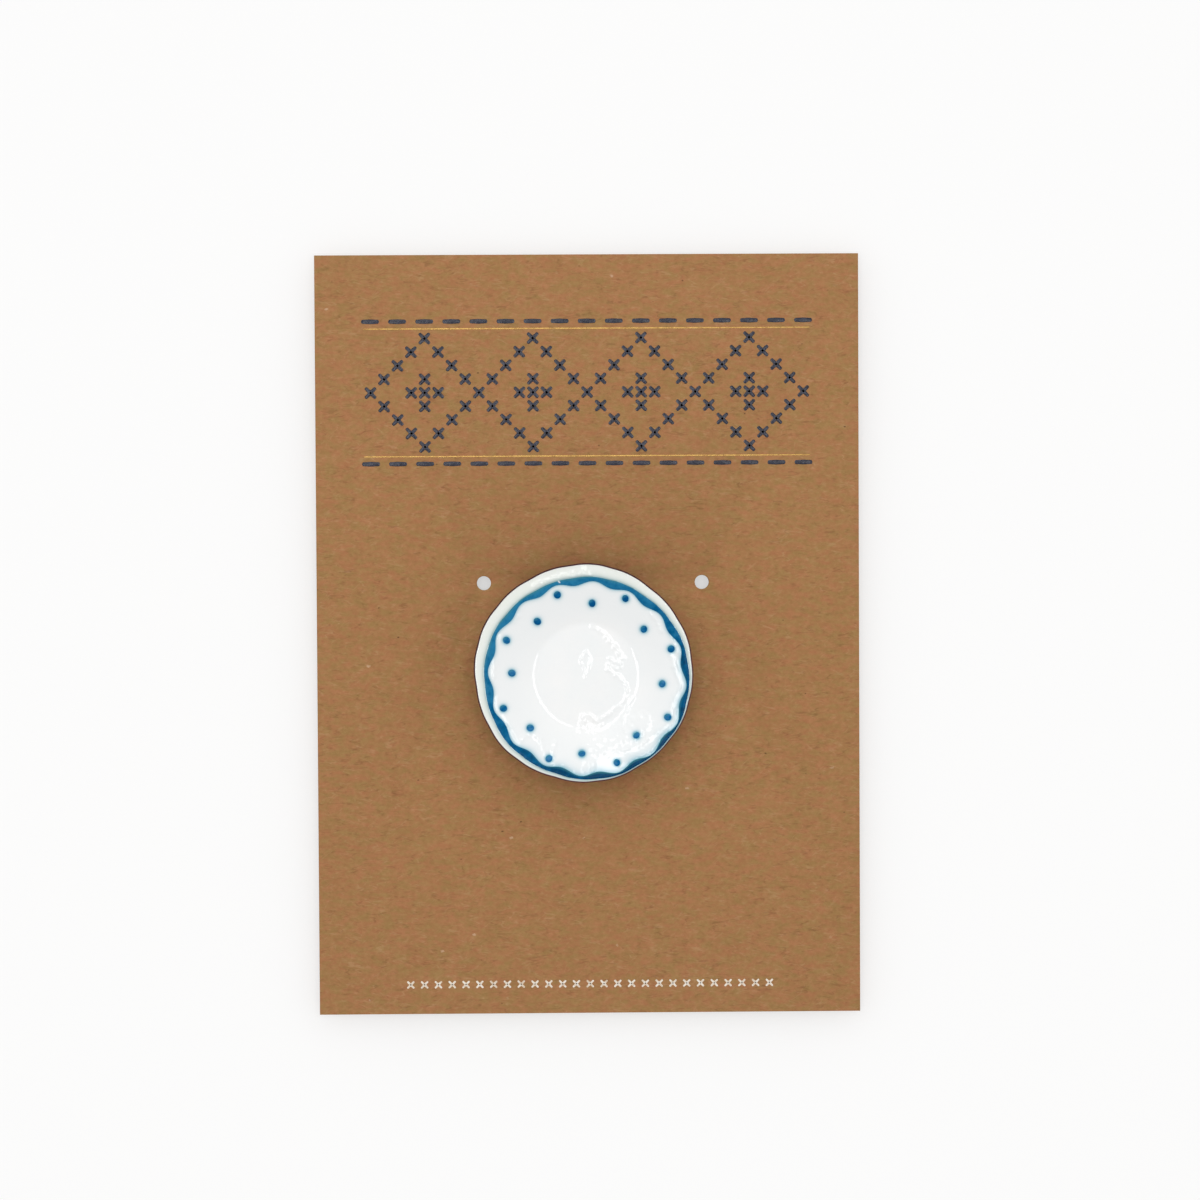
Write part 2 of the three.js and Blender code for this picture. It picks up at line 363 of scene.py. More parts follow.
paint(kraft_card, kraft_finish())
print("kraft finish: mottle, grain, two hues, four layers of fibres and specks")

# %% [markdown]
# The print on the card is raised, shiny navy ink, with fine rules of gold and a row of small white
# crosses near the foot. It is a plain needlework border: cross stitches laid as diamonds between two
# rows of running stitch. Each stitch is one small domed bar. The border is worked out on a grid, as
# it would be on canvas.

# %% Laying printed stitches
INK_HEIGHT = 0.045
INK_ROUND_SEGMENTS = 10
STITCH_WALL = 0.6
STITCH_SHOULDER = 0.22


def stitch_pattern(length, width, height):
    """One domed bar with round ends: a disc whose halves are pulled apart, raised and drawn in."""
    bm = bmesh.new()
    disc = bmesh.ops.create_circle(bm, cap_ends=True, segments=INK_ROUND_SEGMENTS, radius=width / 2)["verts"]
    for side in (-1, 1):
        half = [vert for vert in disc if vert.co.x * side > TINY]
        bmesh.ops.translate(bm, vec=(side * (length - width) / 2, 0, 0), verts=half)
    raised = bmesh.ops.extrude_face_region(bm, geom=list(bm.faces))["geom"]
    top = next(item for item in raised if isinstance(item, bmesh.types.BMFace))
    bmesh.ops.translate(bm, vec=(0, 0, height * STITCH_WALL), verts=top.verts)
    bmesh.ops.inset_region(bm, faces=[top], thickness=width * STITCH_SHOULDER, depth=0)
    bmesh.ops.translate(bm, vec=(0, 0, height * (1 - STITCH_WALL)), verts=top.verts)
    return bm


def stitches_piece(name, places, length, width, height=INK_HEIGHT):
    """One piece of many like stitches, each at an (x, y, turn) on the front of the card."""
    bm = stitch_pattern(length, width, height)
    pattern = [*bm.verts, *bm.edges, *bm.faces]
    pattern_verts = list(bm.verts)
    for x, y, turn in places:
        copied = bmesh.ops.duplicate(bm, geom=pattern)["geom"]
        verts = [item for item in copied if isinstance(item, bmesh.types.BMVert)]
        place = Matrix.Translation((x, y, card_front_z)) @ Matrix.Rotation(math.radians(turn), 4, "Z")
        bmesh.ops.transform(bm, matrix=place, verts=verts)
    bmesh.ops.delete(bm, geom=pattern_verts, context="VERTS")
    bmesh.ops.recalc_face_normals(bm, faces=bm.faces)
    return finish_piece(bm, name, "card")


# %% [markdown]
# The border is a set of grid cells. Counted needlework is designed in the same way, on squared
# paper. Two zigzags make a chain of diamonds, and a little cluster of crosses fills each one. Any
# other motif can be tried by changing the rule that picks the cells.

# %% The navy border
BORDER_MIDDLE = card_middle + Vector((0.0, 28.4))
BORDER_PITCH = 1.58
BORDER_COLUMNS = 16
DIAMOND_HALF = 4
CROSS_ARM = 1.75
CROSS_WIDTH = 0.46
RUNNING_LENGTH = 2.1
RUNNING_WIDTH = 0.56
RUNNING_Y = 8.3


def border_cells():
    """The grid cells that hold a cross: two zigzags that make diamonds, and a small cluster in each."""
    cells = set()
    for column in range(-BORDER_COLUMNS, BORDER_COLUMNS + 1):
        phase = column % (2 * DIAMOND_HALF)
        climb = DIAMOND_HALF - abs(phase - DIAMOND_HALF)
        cells |= {(column, climb), (column, -climb)}
        if phase == DIAMOND_HALF:
            cells |= {(column, 0), (column - 1, 0), (column + 1, 0), (column, 1), (column, -1)}
    return sorted(cells)


def cross_places(middles):
    """Two places for each cross, one for each of its arms."""
    return [(x, y, turn) for x, y in middles for turn in (45, -45)]


def running_places():
    """A row of stitches above the diamonds and one below, at every second column of the grid."""
    steps = range(-BORDER_COLUMNS // 2, BORDER_COLUMNS // 2 + 1)
    columns = [BORDER_MIDDLE.x + 2 * step * BORDER_PITCH for step in steps]
    return [(x, BORDER_MIDDLE.y + side * RUNNING_Y, 0) for x in columns for side in (-1, 1)]


border_middles = [tuple(BORDER_MIDDLE + Vector(cell) * BORDER_PITCH) for cell in border_cells()]
navy_crosses = stitches_piece("navy_cross_stitches", cross_places(border_middles), CROSS_ARM, CROSS_WIDTH)
navy_running = stitches_piece("navy_running_stitches", running_places(), RUNNING_LENGTH, RUNNING_WIDTH)
print("crosses in the border:", len(border_middles))

# %% [markdown]
# The small crosses near the card's foot are white ink, printed flat, and the fine rules are foil.
# They use the same stitch, only smaller, thinner or much longer.

# %% The white crosses and the gold rules
WHITE_MIDDLE = card_middle + Vector((0.0, -41.0))
WHITE_PITCH = 1.62
WHITE_HALF_COUNT = 13
WHITE_ARM = 1.15
WHITE_WIDTH = 0.26
FLAT_INK_HEIGHT = 0.015
RULE_Y = 7.45
RULE_WIDTH = 0.16
RULE_LENGTH = (2 * BORDER_COLUMNS + 1) * BORDER_PITCH

white_steps = range(-WHITE_HALF_COUNT, WHITE_HALF_COUNT + 1)
white_middles = [(WHITE_MIDDLE.x + step * WHITE_PITCH, WHITE_MIDDLE.y) for step in white_steps]
white_crosses = stitches_piece(
    "white_cross_stitches", cross_places(white_middles), WHITE_ARM, WHITE_WIDTH, FLAT_INK_HEIGHT
)
rule_places = [(BORDER_MIDDLE.x, BORDER_MIDDLE.y + side * RULE_Y, 0) for side in (-1, 1)]
gold_rules = stitches_piece("gold_rules", rule_places, RULE_LENGTH, RULE_WIDTH, FLAT_INK_HEIGHT)

# %% [markdown]
# Raised ink is a resin powder that is melted onto wet ink: it is glossy, and its skin is a little
# lumpy, like orange peel. White ink on kraft is thin, so some brown shows through. Gold foil is a
# metal, and it is worn where the fibres stand up.

# %% The inks
NAVY = srgb(30, 32, 48)
NAVY_THIN = srgb(48, 50, 66)
INK_GLOSS = 0.3
INK_COVER = (2.6, 4.0, 0.6)
INK_LUMPS = (5.0, 2.0)
INK_ROUGHNESS_CHANGE = 0.12
ORANGE_PEEL = 0.03
WHITE_INK = srgb(238, 229, 216)
WHITE_INK_THIN = srgb(214, 194, 170)
GOLD = srgb(182, 146, 84)
GOLD_WORN = srgb(154, 118, 68)


def ink_finish(name, full, thin, roughness, metallic=0.0, peel=0.0):
    """An ink that is thin in spots, where the second colour shows."""
    ink = Finish(name, Roughness=roughness, Metallic=metallic, Specular_IOR_Level=INK_GLOSS)
    cover = ink.noise(ink.place(), *INK_COVER)
    ink.drive("Base Color", ink.ramp(cover, [(0.38, thin), (0.56, full)]))
    lumps = ink.noise(ink.place(), *INK_LUMPS)
    change = ink.maths("MULTIPLY", cover, INK_ROUGHNESS_CHANGE)
    ink.drive("Roughness", ink.maths("ADD", change, roughness - INK_ROUGHNESS_CHANGE / 2))
    if peel:
        ink.drive("Normal", ink.bump(lumps, peel, 0.6))
    return ink


navy_ink = ink_finish("raised_navy_ink", NAVY, NAVY_THIN, roughness=0.2, peel=ORANGE_PEEL)
paint(navy_crosses, navy_ink)
paint(navy_running, navy_ink)
paint(white_crosses, ink_finish("white_ink", WHITE_INK, WHITE_INK_THIN, roughness=0.6))
paint(gold_rules, ink_finish("gold_foil", GOLD, GOLD_WORN, roughness=0.35, metallic=1.0))
print("inks: raised navy, white and gold foil")

# %% [markdown]
# A disc magnet is pressed powder, ground flat and then plated with bright nickel. Its edge is
# tumbled round before plating. The section is half a rectangle with two round corners, turned once
# round. Both magnets are the same stock size, so one function makes both.

# %% The two disc magnets
MAGNET_RADIUS = 6.0
MAGNET_EDGE_ROUND = 0.25
MAGNET_STEPS = 160
CORNER_STEPS = 6
FACE_ROWS = 8


def magnet_piece(node, body):
    low, high = node_box(node)
    flat = MAGNET_RADIUS - MAGNET_EDGE_ROUND
    quarter = math.pi / 2
    section = [(0, low.z)]
    section += line((0, low.z), (flat, low.z), FACE_ROWS)
    section += arc((flat, low.z + MAGNET_EDGE_ROUND), MAGNET_EDGE_ROUND, -quarter, 0, CORNER_STEPS)
    section += arc((flat, high.z - MAGNET_EDGE_ROUND), MAGNET_EDGE_ROUND, 0, quarter, CORNER_STEPS)
    section += line((flat, high.z), (0, high.z), FACE_ROWS)
    section += [(0, high.z)]
    bm = turned(section, MAGNET_STEPS)
    return finish_piece(bm, "nickel_" + node, body, [node])


rear_magnet = magnet_piece("rear_magnet", "rear_magnet")
front_magnet = magnet_piece("front_magnet", "front")

# %% [markdown]
# Bright nickel is a mirror with a slightly warm grey. What makes it look real is what spoils it:
# hairline scratches from sliding on other magnets, faint finger smears, and a plating that is not
# quite smooth. Scratches are stretched noises at several angles, used for roughness and bump.

# %% The nickel finish
NICKEL = srgb(202, 200, 196)
NICKEL_DULL = srgb(168, 166, 162)
SCRATCH_TURNS = ((12, 5), (64, 17), (-41, 29), (102, 43))
SCRATCH = (1.0, 2.0)
SCRATCH_STRETCH = (0.08, 7.0, 1)
SCRATCH_DULLING = 0.35
SCRATCH_ROUGHNESS = 0.14
SCRATCH_DEPTH = 0.004
SMEAR = (0.45, 3.0, 0.6)
PLATING = (0.8, 2.0)
PLATING_RIPPLE = 0.02


def nickel_finish():
    nickel = Finish("bright_nickel", Metallic=1.0)
    scratches = None
    for turn, shift in SCRATCH_TURNS:
        hair = nickel.noise(nickel.place(SCRATCH_STRETCH, turn, (shift, shift, 0)), *SCRATCH)
        line_mask = nickel.ramp(hair, [(0.60, 0.0), (0.68, 1.0)])
        scratches = line_mask if scratches is None else nickel.maths("MAXIMUM", scratches, line_mask)
    smear = nickel.noise(nickel.place(), *SMEAR)
    worn = nickel.maths("MULTIPLY", scratches, SCRATCH_DULLING)
    nickel.drive("Base Color", nickel.mix(worn, NICKEL, NICKEL_DULL))
    haze = nickel.ramp(smear, [(0.40, 0.12), (0.65, 0.24)])
    rough = nickel.maths("MULTIPLY", scratches, SCRATCH_ROUGHNESS)
    nickel.drive("Roughness", nickel.maths("ADD", haze, rough))
    plating = nickel.bump(nickel.noise(nickel.place(), *PLATING), PLATING_RIPPLE, 0.5)
    nickel.drive("Normal", nickel.bump(scratches, -SCRATCH_DEPTH, 0.5, plating))
    return nickel


nickel = nickel_finish()
paint(rear_magnet, nickel)
paint(front_magnet, nickel)
print("nickel finish: scratches at four angles, smears and plating ripple")

# %% [markdown]
# The glue fills the hollow of the plate's foot and squeezes out in a bead round the joint. A bead
# that sets by itself is never even, so its outer rim wanders. The section follows the CAD solid:
# pad, bulging bead, and the plug that reaches up into the foot.

# %% The glue
GLUE_PAD_RADIUS = 5.75
GLUE_BEAD = 0.35
GLUE_PLUG_RADIUS = 5.35
GLUE_STEPS = 160
GLUE_BEAD_STEPS = 10
BEAD_WANDER = 0.3
BEAD_WANDER_SIZE = 0.8

glue_low, glue_high = node_box("adhesive")
plate_low = node_box("plate")[0]


def glue_piece():
    pad_top = plate_low.z
    middle_z = (glue_low.z + pad_top) / 2
    half = (pad_top - glue_low.z) / 2
    section = [(0, glue_low.z)]
    for step in range(GLUE_BEAD_STEPS + 1):
        turn = math.pi * (step / GLUE_BEAD_STEPS - 0.5)
        section.append((GLUE_PAD_RADIUS + GLUE_BEAD * math.cos(turn), middle_z + half * math.sin(turn)))
    section += [(GLUE_PLUG_RADIUS, pad_top), (GLUE_PLUG_RADIUS, glue_high.z), (0, glue_high.z)]
    bm = turned(section, GLUE_STEPS)
    for vert in bm.verts:
        radius = vert.co.to_2d().length
        if radius > GLUE_PAD_RADIUS:
            out = (radius - GLUE_PAD_RADIUS) * (1 + BEAD_WANDER * noise.noise(vert.co * BEAD_WANDER_SIZE))
            vert.co.xy *= (GLUE_PAD_RADIUS + out) / radius
    return finish_piece(bm, "glue", "front", ["adhesive"])


glue = glue_piece()


# %% [markdown]
# Cured craft glue is clear but clouded by tiny bubbles, so it is part transparent and part milky.

# %% The glue finish
GLUE_CLEAR = srgb(226, 221, 203)
GLUE_CLOUDY = srgb(242, 239, 228)
GLUE_CLOUDS = (1.1, 4.0, 0.6)
GLUE_CLEARNESS = 0.35
BUBBLE_SIZE = 3.0
BUBBLE_DEPTH = 0.03


def glue_finish():
    cured = Finish("cured_glue", Roughness=0.22, Transmission_Weight=GLUE_CLEARNESS, IOR=1.47)
    cloud = cured.noise(cured.place(), *GLUE_CLOUDS)
    cured.drive("Base Color", cured.ramp(cloud, [(0.35, GLUE_CLEAR), (0.65, GLUE_CLOUDY)]))
    cells = cured.node("TexVoronoi", {"Vector": cured.place(), "Scale": BUBBLE_SIZE})
    bubbles = cured.ramp(cells.outputs["Distance"], [(0.0, 0.0), (0.35, 1.0)])
    cured.drive("Normal", cured.bump(bubbles, BUBBLE_DEPTH, 0.4))
    return cured


paint(glue, glue_finish())
print("glue finish: cloudy, with small bubbles")

# %% [markdown]
# The plate is a turned form that was trimmed by hand. It has a flat well, a short curve up to a
# sloping rim, a rounded lip, and a foot ring underneath. The two straight flanks of the wall are
# worked out first, because each round corner of the section is tangent to the flank that it meets.

# %% The plate's section
PLATE_RADIUS = 12.7
WELL_RADIUS = 5.7
CAVETTO_RADIUS = 3.0
RIM_SLOPE = math.radians(12.5)
RIM_THICKNESS = 1.0
LIP_ROUND = 0.2
FLOOR_THICKNESS = 1.2
FOOT_RADIUS = 6.6
FOOT_WIDTH = 1.2
FOOT_HEIGHT = 0.6
FOOT_ROUND = 0.15
FOOT_FILLET = 0.3
PLATE_STEPS = 576
ROW_SPACING = 0.11
UNDERSIDE_ROWS = 12
FOOT_STEPS = 4
FILLET_STEPS = 6
CAVETTO_STEPS = 8
UNDER_LIP_STEPS = 8
OVER_LIP_STEPS = 10

plate_z = plate_low.z
floor_z = FOOT_HEIGHT + FLOOR_THICKNESS
rim_start = WELL_RADIUS + CAVETTO_RADIUS * math.sin(RIM_SLOPE)
rim_start_z = floor_z + CAVETTO_RADIUS * (1 - math.cos(RIM_SLOPE))
lip_start = PLATE_RADIUS - LIP_ROUND


def upper_z(radius):
    """Height of the rim's upper face above the foot."""
    return rim_start_z + (radius - rim_start) * math.tan(RIM_SLOPE)


lower_slope = math.atan2(upper_z(lip_start) - RIM_THICKNESS - FOOT_HEIGHT, lip_start - FOOT_RADIUS)


def lower_z(radius):
    """Height of the rim's underside above the foot."""
    return FOOT_HEIGHT + (radius - FOOT_RADIUS) * math.tan(lower_slope)


def rows_between(start, end):
    """How many rows of vertices a straight stretch needs."""
    return max(2, round(math.dist(start, end) / ROW_SPACING))


def plate_section():
    quarter = math.pi / 2
    inside = FOOT_RADIUS - FOOT_WIDTH
    fillet_x = FOOT_RADIUS + FOOT_FILLET
    fillet_z = lower_z(fillet_x) - FOOT_FILLET / math.cos(lower_slope)
    under_lip_z = lower_z(lip_start) + LIP_ROUND / math.cos(lower_slope)
    over_lip_z = upper_z(lip_start) - LIP_ROUND / math.cos(RIM_SLOPE)
    cavetto_middle = (WELL_RADIUS, floor_z + CAVETTO_RADIUS)
    foot_fillet = arc((fillet_x, fillet_z), FOOT_FILLET, math.pi, quarter + lower_slope, FILLET_STEPS)
    under_lip = arc((lip_start, under_lip_z), LIP_ROUND, lower_slope - quarter, 0, UNDER_LIP_STEPS)
    over_lip = arc((lip_start, over_lip_z), LIP_ROUND, 0, quarter + RIM_SLOPE, OVER_LIP_STEPS)
    cavetto = arc(cavetto_middle, CAVETTO_RADIUS, RIM_SLOPE - quarter, -quarter, CAVETTO_STEPS)
    section = [(0, FOOT_HEIGHT), (inside, FOOT_HEIGHT)]
    section += arc((inside + FOOT_ROUND, FOOT_ROUND), FOOT_ROUND, math.pi, math.pi + quarter, FOOT_STEPS)
    section += arc((FOOT_RADIUS - FOOT_ROUND, FOOT_ROUND), FOOT_ROUND, -quarter, 0, FOOT_STEPS)
    section += foot_fillet
    section += line(foot_fillet[-1], under_lip[0], UNDERSIDE_ROWS)
    section += under_lip + over_lip
    section += line(over_lip[-1], cavetto[0], rows_between(over_lip[-1], cavetto[0]))
    section += cavetto
    section += line(cavetto[-1], (0, floor_z), rows_between(cavetto[-1], (0, floor_z)))
    return section + [(0, floor_z)]


print(f"plate section: {len(plate_section())} points, underside at {math.degrees(lower_slope):.1f} degrees")

# %% [markdown]
# The paint is laid on before the plate is bent to its hand-made outline, so plate and paint share
# a few small functions: one for each edge of the painted band, one for the swell of the glaze, and
# one for the trimmed outline. Directions are angles from the top of the card, clockwise, as on a
# clock face. A slow wave round the plate is what makes a freehand circle believable: two waves to
# the turn make an oval, and more waves make a wandering line.

# %% The painted edge
LOBE_COUNT = 16
LOBE_TURN = math.radians(4.3)
BAND_INSET = 0.9
BAND_RADIUS = PLATE_RADIUS - BAND_INSET
BAND_MIDDLE = Vector((0.34, -0.58))
BAND_OVAL = (2, 0.085, 104)
BAND_WIDTH = 0.65
BAND_LEAST = 0.15
SCALLOP_DEPTH = 0.24
SCALLOP_MIDDLE = Vector((0.4, -0.65))
SCALLOP_OVAL = (2, 0.155, 117)
PAINT_MARGIN = 0.02
# The side where the enamel pooled. Across each stroke and dot, the other side, towards the upper left, gets
# a painted highlight.
POOL_AND_SHADE_SIDE = math.radians(150)

paint_limit = lip_start - LIP_ROUND * math.sin(RIM_SLOPE) - PAINT_MARGIN


def direction(turn):
    """A step of one unit, at an angle clockwise from the top of the card."""
    return Vector((math.sin(turn), math.cos(turn)))


def turn_of(point):
    """The angle of a point about the plate's axis, clockwise from the top of the card."""
    return math.atan2(point.x, point.y)


def wave_at(wave, turn):
    """How far a wave of so many waves, a size and a starting angle in degrees reaches out here."""
    waves, size, start = wave
    return size * math.cos(waves * (turn - math.radians(start)))


def held_within(point, limit):
    """The point, brought in towards the axis where it lies further out than the limit."""
    return point * min(1, limit / point.length)


def scallop_point(turn):
    """The band's inner edge, a wave with one scallop to each lobe of the plate."""
    reach = BAND_RADIUS - BAND_WIDTH + wave_at(SCALLOP_OVAL, turn)
    reach += SCALLOP_DEPTH * math.cos(LOBE_COUNT * (turn - LOBE_TURN))
    return held_within(SCALLOP_MIDDLE + direction(turn) * reach, paint_limit - BAND_LEAST)


def outer_point(turn):
    """The band's outer edge, an oval that the lip cuts short."""
    reach = BAND_RADIUS + wave_at(BAND_OVAL, turn)
    return held_within(BAND_MIDDLE + direction(turn) * reach, paint_limit)


def inside_scallops(point):
    """How far a point of the rim lies inside the band's inner edge, in millimetres."""
    turn = turn_of(point - SCALLOP_MIDDLE)
    return scallop_point(turn).length - point.length


def outside_band(point):
    """How far a point of the rim lies outside the band's outer edge, in millimetres."""
    turn = turn_of(point - BAND_MIDDLE)
    return point.length - outer_point(turn).length


# %% [markdown]
# No part of a hand-made plate is quite round. Its edge has shallow notches between the lobes and a
# slow wander, and its well sits a little off the middle. One function moves every flat point, so
# whatever is laid on the plate goes the same way. The well's shift is left out underneath, where
# the foot ring has to stay in line with the magnet.

# %% The outline trimmed by hand
NOTCH_DEPTH = 0.07
NOTCH_SHARPNESS = 4
WANDER = ((2, 0.035, 117), (4, 0.023, 21), (5, 0.037, 10), (6, 0.031, -4), (7, 0.026, 18))
WANDER_REACH = 4.5
WELL_SHIFT = Vector((0.28, -0.35))
WELL_REACH = 10.4


def smooth_step(value, start, end):
    """0 before start, 1 after end, and a smooth climb between them."""
    share = min(1, max(0, (value - start) / (end - start)))
    return share * share * (3 - 2 * share)


def hand_made(point, shift_share=1.0):
    """Takes a flat point of the turned plate to the lobed and wandering one."""
    radius = point.length
    if not radius:
        return point + WELL_SHIFT * shift_share
    turn = turn_of(point)
    reach = smooth_step(radius, PLATE_RADIUS - WANDER_REACH, PLATE_RADIUS)
    change = -NOTCH_DEPTH * abs(math.sin(LOBE_COUNT / 2 * (turn - LOBE_TURN))) ** NOTCH_SHARPNESS
    change += sum(wave_at(wave, turn) for wave in WANDER)
    shift = WELL_SHIFT * shift_share * (1 - smooth_step(radius, rim_start, WELL_REACH))
    return point * (1 + reach * change / radius) + shift


# %% [markdown]
# Glaze is thick enough to show dip marks and runs. They decide what the highlights look like,
# because a mirror-smooth surface shows the slope of every swell: a ridge a few hundredths of a
# millimetre high catches the lamp on its left as one thin line and the lamp on its right as
# another. So the swells are real geometry: a slow wave all over, runs that follow a route, patches
# of ripples, and a margin that lies flatter than the rim. A run is its width at the start, its width
# at the end, and a short list of points. All runs are equally steep, so the wide ones are also the
# high ones. A noise makes each run shake and swell into beads, and that breaks its highlight as on
# real glaze. A patch of ripples lies along a route too, and it may stand on a mound of glaze: the
# mound's thickness at the start, its thickness at the end, its reach from the route, and the points.

# %% The swell of the glaze
SLOW_WAVE = (0.30, 0.018)
QUICK_WAVE = (0.95, 0.005)
RUN_STEEPNESS = 0.19
RUN_FADE = 3
RUN_SHAKE = 0.14
SHAKE_SIZE = 1.1
SHAKE_APART = Vector((31.7, 17.3, 0))
RUN_BEADS = 0.7
BEAD_SIZE = 2.3
SQUIGGLE = (
    (0.22, 0.36, ((0.9, 5.4), (1.6, 5.1), (2.4, 4.4), (3.1, 3.5), (3.8, 2.8), (4.4, 1.7))),
    (0.30, 0.26, ((4.4, 1.7), (4.2, 1.0), (3.4, 1.2), (3.0, 1.7))),
    (0.26, 0.30, ((4.3, 0.6), (3.6, 0.5), (2.9, 0.9), (2.8, 0.3), (3.6, -0.2), (4.4, -0.9))),
    (0.30, 0.22, ((4.4, -0.9), (4.9, -1.5), (5.1, -2.1), (4.9, -3.0))),
    (0.22, 0.32, ((4.9, -3.0), (4.3, -3.7), (3.2, -4.6), (2.2, -5.2), (1.5, -5.6))),
    (0.32, 0.26, ((1.5, -5.6), (0.6, -5.1), (-0.1, -4.9), (-0.3, -5.6), (-0.5, -6.6))),
    (0.26, 0.22, ((0.1, -5.6), (0.6, -6.4), (1.2, -6.8), (2.0, -6.0))),
)
LEAF = (
    (0.20, 0.14, ((0.4, 2.5), (-0.2, 1.8), (-0.3, 1.1), (0.1, 0.2), (0.17, -0.6))),
    (0.14, 0.20, ((0.17, -0.6), (0.6, 0.2), (0.8, 1.1), (0.75, 1.8), (0.4, 2.5))),
)
RUNS_AT_THE_FOOT = (
    (0.28, 0.34, ((-9.2, -4.8), (-8.4, -6.1), (-7.8, -7.1), (-7.4, -7.6))),
    (0.34, 0.32, ((-7.4, -7.6), (-6.8, -7.2), (-6.0, -6.9), (-5.3, -7.3))),
    (0.30, 0.24, ((-5.3, -7.3), (-4.9, -8.1), (-4.6, -9.2))),
    (0.28, 0.22, ((-3.3, -8.0), (-3.6, -9.0), (-3.3, -9.9), (-3.6, -10.5))),
    (0.26, 0.22, ((-2.2, -10.6), (-1.7, -10.8), (-1.3, -11.2))),
    (0.24, 0.22, ((0.1, -11.2), (0.5, -10.4), (1.1, -10.4), (0.9, -11.2))),
    (0.26, 0.22, ((5.6, -2.9), (5.2, -3.9), (4.6, -5.1), (4.5, -6.1), (4.75, -6.8), (4.8, -8.1))),
    (0.36, 0.30, ((9.6, -5.9), (8.3, -7.0), (7.0, -7.8), (6.0, -8.6), (4.6, -8.9))),
    (0.26, 0.28, ((9.8, -6.3), (8.4, -8.2), (7.6, -9.0), (5.5, -10.1), (4.3, -10.5))),
)
RUNS_BESIDE_THE_BAND = (
    (0.26, 0.22, ((-10.2, 1.5), (-10.3, 0.4), (-10.25, -0.5))),
    (0.22, 0.22, ((-9.9, -2.7), (-10.0, -3.4), (-9.7, -4.2))),
    (0.22, 0.20, ((-9.5, 4.3), (-9.7, 3.5))),
    (0.24, 0.22, ((-7.5, 6.6), (-7.9, 6.0))),
    (0.22, 0.22, ((4.8, 8.8), (5.3, 8.4))),
    (0.26, 0.24, ((7.8, 6.8), (8.5, 5.9), (9.0, 4.8))),
    (0.22, 0.26, ((10.0, 4.1), (10.5, 3.2), (10.9, 2.2))),
    (0.32, 0.26, ((10.1, 1.9), (10.4, 0.8), (10.9, -0.4), (11.2, -1.4))),
    (0.26, 0.32, ((11.2, -1.4), (10.7, -2.4), (10.2, -3.6), (10.0, -4.7))),
    (0.20, 0.18, ((10.7, 1.2), (11.05, 0.2))),
    (0.22, 0.26, ((10.6, -4.3), (10.5, -5.5), (9.9, -6.2))),
    (0.32, 0.44, ((-5.4, 10.3), (-3.5, 10.9), (-2.0, 11.3), (0.3, 11.5))),
    (0.24, 0.24, ((0.1, 12.2), (0.2, 11.2))),
)
GLAZE_RUNS = SQUIGGLE + LEAF + RUNS_AT_THE_FOOT + RUNS_BESIDE_THE_BAND
RIPPLE_SIZE = 1.8
RIPPLE_HEIGHT = 0.042
RIPPLE_PATCHES = (
    (0, 0, 0.85, ((3.5, 0.8), (3.9, 0.8))),
    (0, 0, 0.75, ((0.7, -6.2), (0.9, -6.2))),
    (0.05, 0.07, 1.7, ((1.9, -8.5), (3.7, -8.0), (5.3, -7.1), (6.6, -5.9))),
)
MOUND_CORE = 0.35
RIPPLE_SPREAD = (0.65, 1.15)
MARGIN_FALL = 0.225
MARGIN_BEND = 0.08


def run_box(widths, points):
    """The box outside which a run has no height, so that most of the plate is worked out fast."""
    reach = RUN_FADE * max(widths) + 2 * RUN_SHAKE
    xs, ys = zip(*points)
    return min(xs) - reach, max(xs) + reach, min(ys) - reach, max(ys) + reach


glaze_runs = [
    (widths, [Vector(point) for point in points], run_box(widths, points)) for *widths, points in GLAZE_RUNS
]
ripple_patches = [(*mound, [Vector(point) for point in points]) for *mound, points in RIPPLE_PATCHES]


def nearest_on_run(point, points):
    """Distance from a flat point to a route, and how far along the route its nearest point is."""
    found = (math.inf, 0)
    for number, (start, end) in enumerate(zip(points, points[1:])):
        from_start = point - start
        along = end - start
        share = min(1, max(0, from_start.dot(along) / along.length_squared))
        away = (from_start - along * share).length
        found = min(found, (away, (number + share) / (len(points) - 1)))
    return found


def shake(here):
    """A small shift aside, made of two plain noises, because those give the same shape on every run."""
    at = here * SHAKE_SIZE
    return Vector((noise.noise(at), noise.noise(at + SHAKE_APART))) * RUN_SHAKE


def run_height(point, here):
    """Height of the tallest run at a point: a soft ridge whose two flanks are as wide as it is."""
    height = 0
    for (width, end_width), points, (left, right, foot, top) in glaze_runs:
        if left < point.x < right and foot < point.y < top:
            shaken = point + shake(here)
            distance, along = nearest_on_run(shaken, points)
            width += (end_width - width) * along
            if distance < RUN_FADE * width:
                beads = 1 + RUN_BEADS * noise.noise(here * BEAD_SIZE)
                dome = math.exp(-(distance / width) ** 2)
                height = max(height, RUN_STEEPNESS * width * beads * dome)
    return height


def ripple_height(point, here):
    """Height of the ripples at a point, with the thick glaze that they stand on."""
    ripples, thick = 0, 0
    for thickness, end_thickness, reach, points in ripple_patches:
        distance, along = nearest_on_run(point, points)
        share = 1 - smooth_step(distance, MOUND_CORE * reach, reach)
        ripples = max(ripples, 1 - smooth_step(distance / reach, *RIPPLE_SPREAD))
        thick = max(thick, share * (thickness + (end_thickness - thickness) * along))
    return thick + ripples * RIPPLE_HEIGHT * noise.noise(here * RIPPLE_SIZE)


def swell(flat, bent):
    """Height that the glaze adds to the plate, in millimetres, at a flat point that was bent."""
    here = Vector((bent.x, bent.y, 0))
    height = SLOW_WAVE[1] * noise.noise(here * SLOW_WAVE[0])
    height += QUICK_WAVE[1] * noise.noise(here * QUICK_WAVE[0])
    height += run_height(bent, here) + ripple_height(bent, here)
    outside = max(0, outside_band(flat))
    return height - MARGIN_FALL * (math.hypot(outside, MARGIN_BEND) - MARGIN_BEND)
